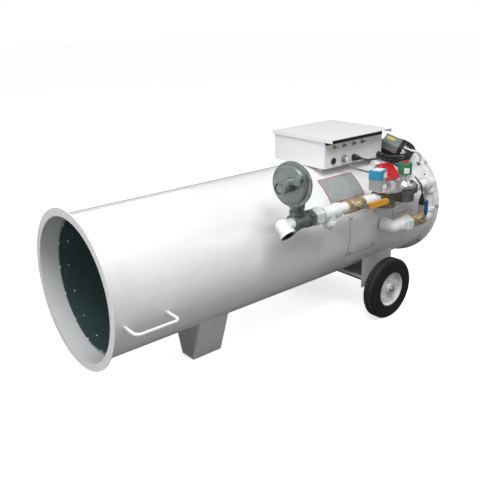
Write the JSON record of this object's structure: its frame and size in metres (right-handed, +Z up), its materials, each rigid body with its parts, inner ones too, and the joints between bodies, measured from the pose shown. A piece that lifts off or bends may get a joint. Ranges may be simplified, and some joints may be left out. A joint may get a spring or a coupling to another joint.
{
  "type": "forced air heater",
  "caption": "Direct-fired forced air heater: long white tube on a foot and wheels, with an exposed gas train, top control box, burner, fan and lifting handles.",
  "frame": {"origin": "on the ground, below the centre of the bounding box", "axes": "+X along the tube from the outlet to the fan, +Y away from the gas train, +Z up"},
  "size_m": [1.653, 0.708, 0.785],
  "materials": {
    "shell_paint": "gloss white enamel",
    "box_paint": "gloss white enamel",
    "rim_paint": "gloss white enamel",
    "white_pipe": "brushed-on white enamel over pipe",
    "galvanised": "spangled zinc, dull",
    "stainless": "heat-tinted stainless",
    "zinc": "zinc plated",
    "nickel": "nickel plated",
    "aluminium": "cast and machined",
    "brass": "bare, dull",
    "bronze": "dark cast bronze",
    "dark_iron": "dark coated casting",
    "cast_brown": "grey-green coated casting",
    "regulator_green": "grey-green hammered paint",
    "ceramic": "glazed ceramic",
    "motor_grey": "satin grey",
    "tyre": "black rubber",
    "black_rubber": "matt",
    "black_plastic": "moulded black",
    "cord_black": "smooth jacket",
    "conduit_grey": "grey flexible conduit",
    "lead_white": "silicone jacket",
    "yellow_grip": "vinyl-dipped grip",
    "blue_grip": "vinyl-dipped grip",
    "cover_blue": "moulded",
    "coil_green": "moulded",
    "red_plastic": "moulded",
    "transformer_grey": "grey-green enamel"
  },
  "bodies": {
    "heater": {"outer_shell": "shell_paint", "outlet_flange": "shell_paint", "rear_ring": "shell_paint", "intake_guard": "zinc", "hex_bolts": "zinc", "access_door": "shell_paint", "inner_liner": "galvanised", "burner_cone": "stainless", "burner_baffle": "stainless", "gas_injector": "white_pipe", "electrodes": "ceramic", "fan_motor": "motor_grey", "motor_mount": "shell_paint", "front_foot": "shell_paint", "axle_bracket": "shell_paint", "axle": "zinc", "side_handles": "shell_paint", "control_box": "box_paint", "box_gasket": "black_rubber", "box_internals": "black_plastic", "switch_bushings": "nickel", "box_glands": "black_plastic", "pipe_elbows": "white_pipe", "pipe_nipples": "white_pipe", "pipe_unions": "white_pipe", "drip_leg": "white_pipe", "regulator_body": "cast_brown", "regulator_case": "regulator_green", "regulator_diaphragm": "black_rubber", "ball_valve_bodies": "brass", "safety_valve": "bronze", "safety_actuator": "aluminium", "safety_cover": "cover_blue", "solenoid_body": "dark_iron", "solenoid_bonnet": "aluminium", "solenoid_coil": "coil_green", "pressure_switch": "black_rubber", "flame_safeguard": "red_plastic", "transformer": "transformer_grey", "transformer_bracket": "zinc", "cord_coil": "cord_black", "cord_lead": "cord_black", "cord_tail": "cord_black", "power_plug": "black_plastic", "switch_lead": "cord_black", "flex_conduit": "conduit_grey", "ht_lead": "lead_white"},
    "left_wheel": {"left_tyre": "tyre", "left_rim": "rim_paint"},
    "right_wheel": {"right_tyre": "tyre", "right_rim": "rim_paint"},
    "fan": {"fan_rotor": "aluminium"},
    "lid": {"box_lid": "box_paint"},
    "inlet_valve_lever": {"inlet_lever": "yellow_grip"},
    "outlet_valve_lever": {"outlet_lever": "blue_grip"},
    "toggle_a": {"toggle_1": "nickel"},
    "toggle_b": {"toggle_2": "nickel"},
    "toggle_c": {"toggle_3": "nickel"},
    "toggle_d": {"toggle_4": "nickel"},
    "button": {"push_button": "black_plastic"}
  },
  "joints": [
    {"name": "fan_spin", "type": "hinge", "parent": "heater", "child": "fan", "pos_m": [0.74851, 0.0345, 0.4135], "axis": [1, 0, 0], "continuous": true},
    {"name": "left_wheel_spin", "type": "hinge", "parent": "heater", "child": "left_wheel", "pos_m": [0.45651, -0.2485, 0.131], "axis": [0, 1, 0], "continuous": true},
    {"name": "right_wheel_spin", "type": "hinge", "parent": "heater", "child": "right_wheel", "pos_m": [0.45651, 0.3175, 0.131], "axis": [0, 1, 0], "continuous": true},
    {"name": "lid_hinge", "type": "hinge", "parent": "heater", "child": "lid", "pos_m": [0.37676, 0.1872, 0.7705], "axis": [-1, 0, 0], "range_deg": [0, 100]},
    {"name": "inlet_lever_turn", "type": "hinge", "parent": "heater", "child": "inlet_valve_lever", "pos_m": [0.17751, -0.3105, 0.5605], "axis": [0, 1, 0], "range_deg": [0, 90]},
    {"name": "outlet_lever_turn", "type": "hinge", "parent": "heater", "child": "outlet_valve_lever", "pos_m": [0.57651, -0.3105, 0.4135], "axis": [0, 1, 0], "range_deg": [0, 90]},
    {"name": "toggle_a_throw", "type": "hinge", "parent": "heater", "child": "toggle_a", "pos_m": [0.25551, -0.1079, 0.7445], "axis": [1, 0, 0], "range_deg": [0, 22]},
    {"name": "toggle_b_throw", "type": "hinge", "parent": "heater", "child": "toggle_b", "pos_m": [0.31051, -0.1079, 0.7445], "axis": [1, 0, 0], "range_deg": [0, 22]},
    {"name": "toggle_c_throw", "type": "hinge", "parent": "heater", "child": "toggle_c", "pos_m": [0.37051, -0.1079, 0.7445], "axis": [1, 0, 0], "range_deg": [0, 22]},
    {"name": "toggle_d_throw", "type": "hinge", "parent": "heater", "child": "toggle_d", "pos_m": [0.42351, -0.1079, 0.7445], "axis": [1, 0, 0], "range_deg": [0, 22]},
    {"name": "button_press", "type": "slide", "parent": "heater", "child": "button", "axis": [0, 1, 0], "range_m": [0, 0.003]}
  ]
}
